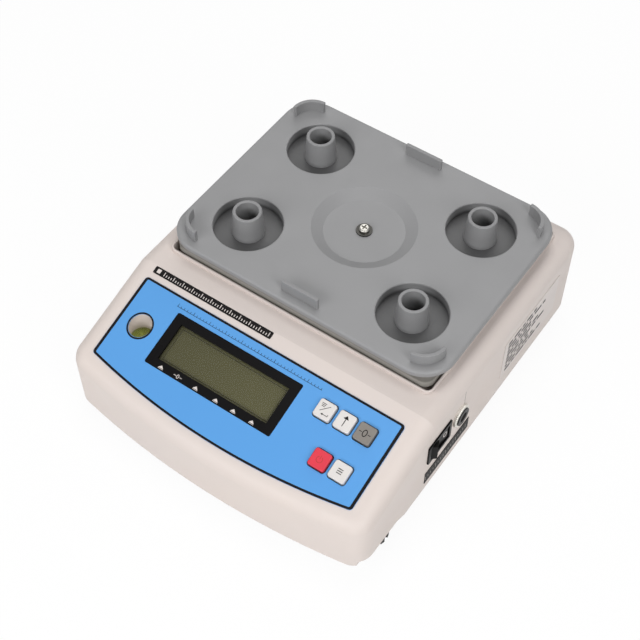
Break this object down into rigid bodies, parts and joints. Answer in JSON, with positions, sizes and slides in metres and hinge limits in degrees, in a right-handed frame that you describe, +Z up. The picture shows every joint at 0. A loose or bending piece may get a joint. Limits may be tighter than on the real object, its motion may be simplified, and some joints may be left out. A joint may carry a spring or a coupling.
{
  "type": "density meter",
  "caption": "Benchtop density meter: a low weighing case with a sloping console, and a grey pan of hollow posts in round wells that carries a tank or a basket.",
  "frame": {"origin": "on the bench, under the middle of the case", "axes": "+X to the operator's right, +Y to the back of the case, +Z up"},
  "size_m": [0.1829, 0.2134, 0.0835],
  "materials": {
    "case_shell": "fine moulded texture, ivory",
    "pan_plastic": "satin moulded, mid grey",
    "base_metal": "cast and painted dark grey",
    "panel_face": "printed film, blue with a black outline",
    "bezel_black": "satin black",
    "window_clear": "clear and thin",
    "lcd_olive": "reflective liquid-crystal glass, olive",
    "key_white": "satin",
    "key_grey": "satin",
    "key_red": "satin",
    "vial_clear": "clear",
    "fluid_yellow": "yellow-green fluid",
    "bubble_air": "clear",
    "label_black": "printed film, black",
    "label_white": "printed film, white",
    "switch_black": "satin black",
    "nickel": "bright nickel plate",
    "steel": "zinc plated",
    "brass": "turned",
    "foot_rubber": "matt black",
    "knob_black": "satin black",
    "cell_metal": "milled",
    "silicone_white": "matt",
    "board_green": "solder mask",
    "chip_black": "moulded",
    "can_metal": "satin",
    "header_ivory": "moulded",
    "ribbon_grey": "ribbed",
    "cable_black": "smooth",
    "lead_red": "smooth"
  },
  "bodies": {
    "root": {"upper_housing": "case_shell", "base_plate": "base_metal", "base_screws": "steel", "foot_inserts": "brass", "panel_overlay": "panel_face", "display_bezel": "bezel_black", "display_window": "window_clear", "lcd_glass": "lcd_olive", "lcd_connectors": "silicone_white", "display_board": "board_green", "board_screws": "steel", "tact_switches": "chip_black", "level_retainer": "case_shell", "level_vial": "vial_clear", "level_fluid": "fluid_yellow", "level_bubble": "bubble_air", "main_board": "board_green", "board_chips": "chip_black", "board_capacitors": "can_metal", "board_connectors": "header_ivory", "buzzer": "chip_black", "load_cell": "cell_metal", "load_cell_spacer": "cell_metal", "gauge_covers": "silicone_white", "overload_stops": "steel", "load_cell_cable": "cable_black", "ribbon_cable": "ribbon_grey", "power_leads": "lead_red", "switch_body": "switch_black", "switch_terminals": "brass", "jack_body": "chip_black", "jack_nut": "nickel", "jack_pin": "nickel", "title_strip": "label_black", "socket_strip": "label_black", "rating_plate": "label_white"},
    "platform": {"pan_support": "pan_plastic", "pan_skirt": "pan_plastic", "pan_uprights": "pan_plastic", "platform_spindle": "steel", "spindle_screws": "steel", "platform_screw": "nickel"},
    "function_key_cap": {"function_key": "key_white"},
    "up_key_cap": {"up_key": "key_white"},
    "zero_key_cap": {"zero_key": "key_grey"},
    "power_key_cap": {"power_key": "key_red"},
    "mode_key_cap": {"mode_key": "key_white"},
    "rocker_body": {"rocker": "switch_black"},
    "pad_front_left": {"foot_pad_front_left": "foot_rubber"},
    "knob_front_left": {"foot_knob_front_left": "knob_black", "foot_stud_front_left": "steel"},
    "pad_front_right": {"foot_pad_front_right": "foot_rubber"},
    "knob_front_right": {"foot_knob_front_right": "knob_black", "foot_stud_front_right": "steel"},
    "pad_back_left": {"foot_pad_back_left": "foot_rubber"},
    "knob_back_left": {"foot_knob_back_left": "knob_black", "foot_stud_back_left": "steel"},
    "pad_back_right": {"foot_pad_back_right": "foot_rubber"},
    "knob_back_right": {"foot_knob_back_right": "knob_black", "foot_stud_back_right": "steel"}
  },
  "joints": [
    {"name": "platform_sink", "type": "slide", "parent": "root", "child": "platform", "axis": [0, 0, 1], "range_m": [-0.0006, 0], "stiffness_N_per_m": 7350, "springref_m": 0.00014, "deforming": ["load_cell"]},
    {"name": "function_key_press", "type": "slide", "parent": "root", "child": "function_key_cap", "axis": [0, 0.2974, -0.9548], "range_m": [0, 0.0005], "stiffness_N_per_m": 2000},
    {"name": "up_key_press", "type": "slide", "parent": "root", "child": "up_key_cap", "axis": [0, 0.2974, -0.9548], "range_m": [0, 0.0005], "stiffness_N_per_m": 2000},
    {"name": "zero_key_press", "type": "slide", "parent": "root", "child": "zero_key_cap", "axis": [0, 0.2974, -0.9548], "range_m": [0, 0.0005], "stiffness_N_per_m": 2000},
    {"name": "power_key_press", "type": "slide", "parent": "root", "child": "power_key_cap", "axis": [0, 0.2974, -0.9548], "range_m": [0, 0.0005], "stiffness_N_per_m": 2000},
    {"name": "mode_key_press", "type": "slide", "parent": "root", "child": "mode_key_cap", "axis": [0, 0.2974, -0.9548], "range_m": [0, 0.0005], "stiffness_N_per_m": 2000},
    {"name": "rocker_tip", "type": "hinge", "parent": "root", "child": "rocker_body", "pos_m": [0.0869, -0.03275, 0.0385], "axis": [0, 0, -1], "range_deg": [0, 22]},
    {"name": "foot_front_left_extend", "type": "slide", "parent": "root", "child": "pad_front_left", "axis": [0, 0, -1], "range_m": [0, 0.005]},
    {"name": "foot_front_left_turn", "type": "hinge", "parent": "pad_front_left", "child": "knob_front_left", "pos_m": [-0.0794, -0.07525, 0.005], "axis": [0, 0, -1], "range_deg": [0, 1800]},
    {"name": "foot_front_right_extend", "type": "slide", "parent": "root", "child": "pad_front_right", "axis": [0, 0, -1], "range_m": [0, 0.005]},
    {"name": "foot_front_right_turn", "type": "hinge", "parent": "pad_front_right", "child": "knob_front_right", "pos_m": [0.0794, -0.07525, 0.005], "axis": [0, 0, -1], "range_deg": [0, 1800]},
    {"name": "foot_back_left_extend", "type": "slide", "parent": "root", "child": "pad_back_left", "axis": [0, 0, -1], "range_m": [0, 0.005]},
    {"name": "foot_back_left_turn", "type": "hinge", "parent": "pad_back_left", "child": "knob_back_left", "pos_m": [-0.0794, 0.09, 0.005], "axis": [0, 0, -1], "range_deg": [0, 1800]},
    {"name": "foot_back_right_extend", "type": "slide", "parent": "root", "child": "pad_back_right", "axis": [0, 0, -1], "range_m": [0, 0.005]},
    {"name": "foot_back_right_turn", "type": "hinge", "parent": "pad_back_right", "child": "knob_back_right", "pos_m": [0.0794, 0.09, 0.005], "axis": [0, 0, -1], "range_deg": [0, 1800]}
  ],
  "couplings": [
    {"joint": "foot_front_left_extend", "follows": "foot_front_left_turn", "m_per_rad": 0.000159},
    {"joint": "foot_front_right_extend", "follows": "foot_front_right_turn", "m_per_rad": 0.000159},
    {"joint": "foot_back_left_extend", "follows": "foot_back_left_turn", "m_per_rad": 0.000159},
    {"joint": "foot_back_right_extend", "follows": "foot_back_right_turn", "m_per_rad": 0.000159}
  ]
}
